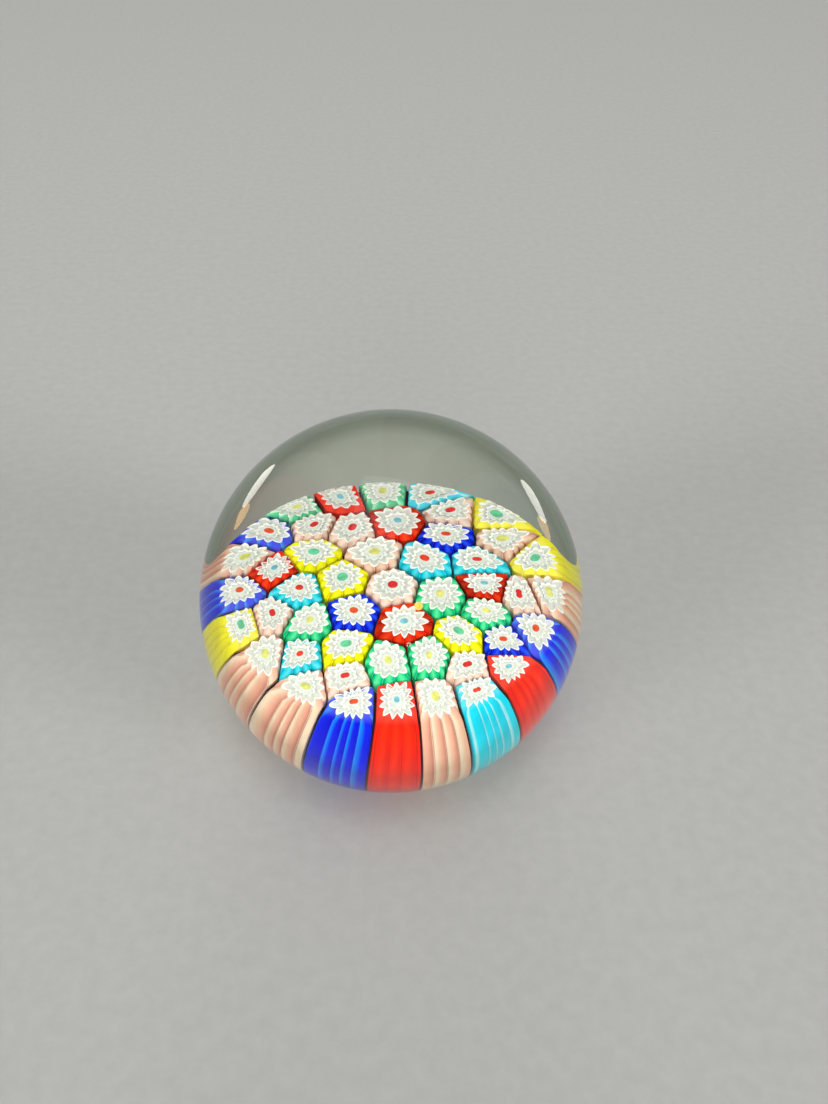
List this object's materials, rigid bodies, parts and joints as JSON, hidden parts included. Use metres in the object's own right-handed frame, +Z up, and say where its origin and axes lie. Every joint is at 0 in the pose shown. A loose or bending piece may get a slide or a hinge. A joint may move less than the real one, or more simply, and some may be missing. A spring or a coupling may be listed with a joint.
{
  "type": "glass paperweight",
  "caption": "Round clear glass paperweight, ground flat underneath, cast over a domed cushion of coloured star-patterned glass canes on a dark glass ground.",
  "frame": {"origin": "middle of the ground base, on the surface that the weight stands on", "axes": "+Z up through the crown of the ball; the pictured front faces -Y, with +X to its right"},
  "size_m": [0.07, 0.07, 0.0595],
  "materials": {
    "clear_glass": "polished clear crystal, fire-polished dome and ground base",
    "dark_glass": "opaque near-black maroon glass",
    "cane_red": "opaque red glass cane with white star",
    "cane_cobalt": "opaque cobalt blue glass cane with white star",
    "cane_turquoise": "turquoise glass cane with white star",
    "cane_green": "translucent green glass cane with white star",
    "cane_yellow": "opaque yellow glass cane with white star",
    "cane_pink": "opaque salmon pink glass cane with white star",
    "cane_pale_pink": "pale pink glass cane with white star"
  },
  "bodies": {
    "root": {"clear_dome": "clear_glass", "ground_core": "dark_glass", "cane_centre_01": "cane_pale_pink", "cane_first_01": "cane_red", "cane_first_02": "cane_green", "cane_first_03": "cane_turquoise", "cane_first_04": "cane_pink", "cane_first_05": "cane_yellow", "cane_first_06": "cane_cobalt", "cane_second_01": "cane_yellow", "cane_second_02": "cane_green", "cane_second_03": "cane_green", "cane_second_04": "cane_yellow", "cane_second_05": "cane_green", "cane_second_06": "cane_red", "cane_second_07": "cane_turquoise", "cane_second_08": "cane_cobalt", "cane_second_09": "cane_red", "cane_second_10": "cane_pale_pink", "cane_second_11": "cane_yellow", "cane_second_12": "cane_turquoise", "cane_second_13": "cane_green", "cane_right_01": "cane_pale_pink", "cane_right_02": "cane_cobalt", "cane_right_03": "cane_pale_pink", "cane_right_04": "cane_pink", "cane_right_05": "cane_pale_pink", "cane_left_01": "cane_pale_pink", "cane_left_02": "cane_red", "cane_left_03": "cane_pale_pink", "cane_left_04": "cane_turquoise", "cane_left_05": "cane_pale_pink", "cane_outer_01": "cane_pink", "cane_outer_02": "cane_cobalt", "cane_outer_03": "cane_red", "cane_outer_04": "cane_pink", "cane_outer_05": "cane_turquoise", "cane_outer_06": "cane_red", "cane_outer_07": "cane_cobalt", "cane_outer_08": "cane_pink", "cane_outer_09": "cane_yellow", "cane_outer_10": "cane_yellow", "cane_outer_11": "cane_turquoise", "cane_outer_12": "cane_green", "cane_outer_13": "cane_red", "cane_outer_14": "cane_green", "cane_outer_15": "cane_cobalt", "cane_outer_16": "cane_pink", "cane_outer_17": "cane_cobalt", "cane_outer_18": "cane_yellow", "cane_outer_19": "cane_pink"}
  },
  "joints": []
}
